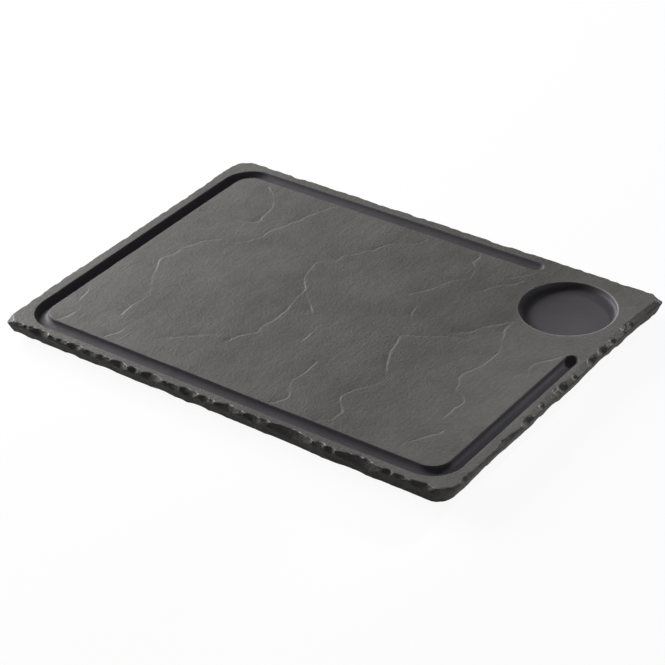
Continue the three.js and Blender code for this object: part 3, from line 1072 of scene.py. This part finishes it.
def makeCleftPorcelain():
    look = cleftPorcelain
    material, tree, surface = newMaterial("unglazed porcelain, pressed cleft face")
    place = addNode(tree, "TexCoord", {}, {}).outputs["Object"]
    width, length = perMetre(look["streakWidth"]), perMetre(look["streakLength"])
    turned = addNode(tree, "Mapping", {}, {
        "Vector": place,
        "Rotation": (0, 0, math.radians(look["streakLean"])),
        "Scale": (width, length, length),
    })
    streaks = addNode(tree, "TexNoise", {}, {
        "Vector": turned.outputs[0], "Scale": 1, "Detail": 3, "Roughness": 0.6,
    })
    clouds = addNode(tree, "TexNoise", {}, {
        "Vector": place, "Scale": perMetre(look["cloudSize"]), "Detail": 4, "Roughness": 0.55,
    })
    grit = addNode(tree, "TexNoise", {}, {
        "Vector": place, "Scale": perMetre(look["gritSize"]), "Detail": 3, "Roughness": 0.7,
    })
    tone = addNode(tree, "Math", {"operation": "MULTIPLY_ADD"}, {
        0: clouds.outputs[0], 1: look["cloudTone"], 2: -look["toneDrop"],
    })
    tone = addNode(tree, "Math", {"operation": "MULTIPLY_ADD"}, {
        0: streaks.outputs[0], 1: look["streakTone"], 2: tone.outputs[0],
    })
    tone = addNode(tree, "Math", {"operation": "MULTIPLY_ADD"}, {
        0: grit.outputs[0], 1: look["gritTone"], 2: tone.outputs[0],
    })
    colour = bodyColour(tree, look, tone)
    patches = addNode(tree, "MapRange", {}, {
        "Value": clouds.outputs[0], "From Min": look["patchRange"][0], "From Max": look["patchRange"][1],
        "To Min": look["streakHeight"][0], "To Max": look["streakHeight"][1],
    })
    hatch = addNode(tree, "Math", {"operation": "MULTIPLY"}, {0: streaks.outputs[0], 1: patches.outputs[0]})
    height = addNode(tree, "Math", {"operation": "MULTIPLY_ADD"}, {
        0: grit.outputs[0], 1: look["gritHeight"], 2: hatch.outputs[0],
    })
    finishSurface(tree, surface, look, colour, clouds, height)
    return material


# The same porcelain sanded smooth in the groove and the well: a finer, faintly violet grey with soft sheen
sandedPorcelain = {
    "dark": "#4d4b4f",
    "light": "#5a575c",
    "cloudSize": 22,
    "gritSize": 0.8,
    "bump": 0.04,
    "roughness": (0.55, 0.65),
    "sheen": 0.12,
}
# Broken edge of the same body, coloured darker than the face as painted shade on the side: dull scars with a
# rough, finely hackled break
knappedPorcelain = {
    # darker than the face, which paints the shade of the side
    "dark": "#333232",
    "light": "#868482",
    # a painted glint along the fresh edges of the scars
    "highlightColour": "#b4b2ad",
    "highlightShare": 0.25,
    "cloudSize": 6,
    # the break runs in thin layers along the board, drawn coarser than they are so that they show
    "layering": 2,
    "gritSize": 2.6,
    "bump": 0.8,
    "roughness": (0.6, 0.72),
    "sheen": 0.08,
}
# Underside as it left the mould: even, dry and matt
mouldedPorcelain = {
    "dark": "#4b4a49",
    "light": "#5a5957",
    "cloudSize": 40,
    "gritSize": 1.0,
    "bump": 0.08,
    "roughness": (0.65, 0.75),
    "sheen": 0.25,
}
# Silicone rubber moulded in a blasted tool: soft black with a dry bloom
mouldedSilicone = {
    "dark": "#1c1c1e",
    "light": "#29292b",
    "cloudSize": 3,
    "gritSize": 0.5,
    "bump": 0.04,
    "roughness": (0.62, 0.74),
    "sheen": 0.4,
}


gritTone = 0.4  # share of the grit in the tone, added evenly round zero


def makeGrainy(name, look):
    # tone in soft clouds, fine grit in the surface
    material, tree, surface = newMaterial(name)
    place = addNode(tree, "TexCoord", {}, {}).outputs["Object"]
    if "layering" in look:
        layered = addNode(tree, "Mapping", {}, {"Vector": place, "Scale": (1, 1, look["layering"])})
        place = layered.outputs[0]
    clouds = addNode(tree, "TexNoise", {}, {
        "Vector": place, "Scale": perMetre(look["cloudSize"]), "Detail": 4,
    })
    grit = addNode(tree, "TexNoise", {}, {
        "Vector": place, "Scale": perMetre(look["gritSize"]), "Detail": 3,
    })
    tone = addNode(tree, "Math", {"operation": "MULTIPLY_ADD"}, {
        0: grit.outputs[0], 1: gritTone, 2: -gritTone / 2,
    })
    tone = addNode(tree, "Math", {"operation": "ADD"}, {0: clouds.outputs[0], 1: tone.outputs[0]})
    colour = bodyColour(tree, look, tone)
    finishSurface(tree, surface, look, colour, clouds, grit)
    return material


porcelains = [
    makeCleftPorcelain(),
    makeGrainy("unglazed porcelain, sanded", sandedPorcelain),
    makeGrainy("unglazed porcelain, knapped", knappedPorcelain),
    makeGrainy("unglazed porcelain, as moulded", mouldedPorcelain),
]
print("materials made")
makeBoard(porcelains)
makePads(makeGrainy("silicone rubber, moulded", mouldedSilicone))

# Stage: a pale floor, a low soft key from the left, a narrow kicker along the right side and a faint low fill
stage = {
    "floorSide": 6.0,
    # just under the pads, so that their feet don't flicker through it, in mm
    "floorDrop": 0.02,
    "floorColour": "#8c8c8c",
    "floorGlow": 0.93,
    "floorShare": 0.09,
    "skyLight": 0.085,
    "ceiling": 0.15,
    "backdropTop": (0.1, 0.45),
    "keyPlace": (-1.34, 0.14, 0.46),
    "keyAim": (0.0, 0.0, 0.0),
    "keySize": (1.0, 0.42),
    "keyPower": 40,
    "kickerPlace": (0.17, 0.82, 0.27),
    "kickerAim": (0.15, -0.03, 0.01),
    "kickerSpread": 8,
    "kickerSoftness": 0.03,
    "kickerPower": 25,
    "fillPlace": (1.25, 0.05, 0.07),
    "fillAim": (0.165, 0.03, 0.0),
    "fillSize": (0.4, 0.1),
    "fillPower": 2,
}


def seenDirectly(tree):
    # 1 for what the camera sees, also in a reflection or through glass
    path = addNode(tree, "LightPath", {}, {})
    seen = addNode(tree, "Math", {"operation": "MAXIMUM"}, {
        0: path.outputs["Is Camera Ray"], 1: path.outputs["Is Glossy Ray"],
    })
    seen = addNode(tree, "Math", {"operation": "MAXIMUM"}, {
        0: seen.outputs[0], 1: path.outputs["Is Transmission Ray"],
    })
    return seen.outputs[0]


def addFloor():
    half = stage["floorSide"] / 2 / mm
    corners = [(x * half, y * half, -stage["floorDrop"]) for x, y in cornerSigns]
    material = bpy.data.materials.new("floor")
    material.use_nodes = True
    tree = material.node_tree
    tree.nodes.clear()
    seen = seenDirectly(tree)
    plain = addNode(tree, "BsdfDiffuse", {}, {"Color": linear(stage["floorColour"])})
    faint = addNode(tree, "BsdfDiffuse", {}, {"Color": (*[stage["floorShare"]] * 3, 1)})
    glow = addNode(tree, "Emission", {}, {"Color": (1, 1, 1, 1), "Strength": stage["floorGlow"]})
    shown = addNode(tree, "AddShader", {}, {0: faint.outputs[0], 1: glow.outputs[0]})
    mixed = addNode(tree, "MixShader", {}, {0: seen, 1: plain.outputs[0], 2: shown.outputs[0]})
    addNode(tree, "OutputMaterial", {}, {"Surface": mixed.outputs[0]})
    floor = newMesh("floor", corners, [(0, 1, 2, 3)], [material], [0])


def addWorld():
    world = bpy.data.worlds.new("studio")
    bpy.context.scene.world = world
    world.use_nodes = True
    tree = world.node_tree
    tree.nodes.clear()
    seen = seenDirectly(tree)
    sky = addNode(tree, "Background", {}, {"Color": (1, 1, 1, 1), "Strength": stage["skyLight"]})
    # the backdrop is white up to its top edge, with a dim ceiling above it
    place = addNode(tree, "TexCoord", {}, {}).outputs["Generated"]
    height = addNode(tree, "SeparateXYZ", {}, {0: place}).outputs[2]
    low, high = stage["backdropTop"]
    level = addNode(tree, "MapRange", {"interpolation_type": "SMOOTHSTEP"}, {
        "Value": height, "From Min": low, "From Max": high, "To Min": 1, "To Max": stage["ceiling"],
    })
    white = addNode(tree, "Background", {}, {"Color": (1, 1, 1, 1), "Strength": level.outputs[0]})
    mixed = addNode(tree, "MixShader", {}, {0: seen, 1: sky.outputs[0], 2: white.outputs[0]})
    addNode(tree, "OutputWorld", {}, {"Surface": mixed.outputs[0]})


def addLamp(name, kind, settings):
    lamp = bpy.data.lights.new(name, kind)
    for setting, value in settings.items():
        setattr(lamp, setting, value)
    lamp.energy = stage[name + "Power"]
    holder = bpy.data.objects.new(name, lamp)
    place = Vector(stage[name + "Place"])
    holder.location = place
    holder.rotation_euler = (Vector(stage[name + "Aim"]) - place).to_track_quat("-Z", "Y").to_euler()
    bpy.context.scene.collection.objects.link(holder)


addFloor()
addWorld()
keyWidth, keyHeight = stage["keySize"]
addLamp("key", "AREA", {"shape": "RECTANGLE", "size": keyWidth, "size_y": keyHeight})
fillWidth, fillHeight = stage["fillSize"]
addLamp("fill", "AREA", {"shape": "RECTANGLE", "size": fillWidth, "size_y": fillHeight})
addLamp("kicker", "SPOT", {
    "spot_size": math.radians(stage["kickerSpread"]),
    "spot_blend": 1,
    "shadow_soft_size": stage["kickerSoftness"],
})
bpy.context.scene.view_settings.view_transform = "Standard"
print("stage set")
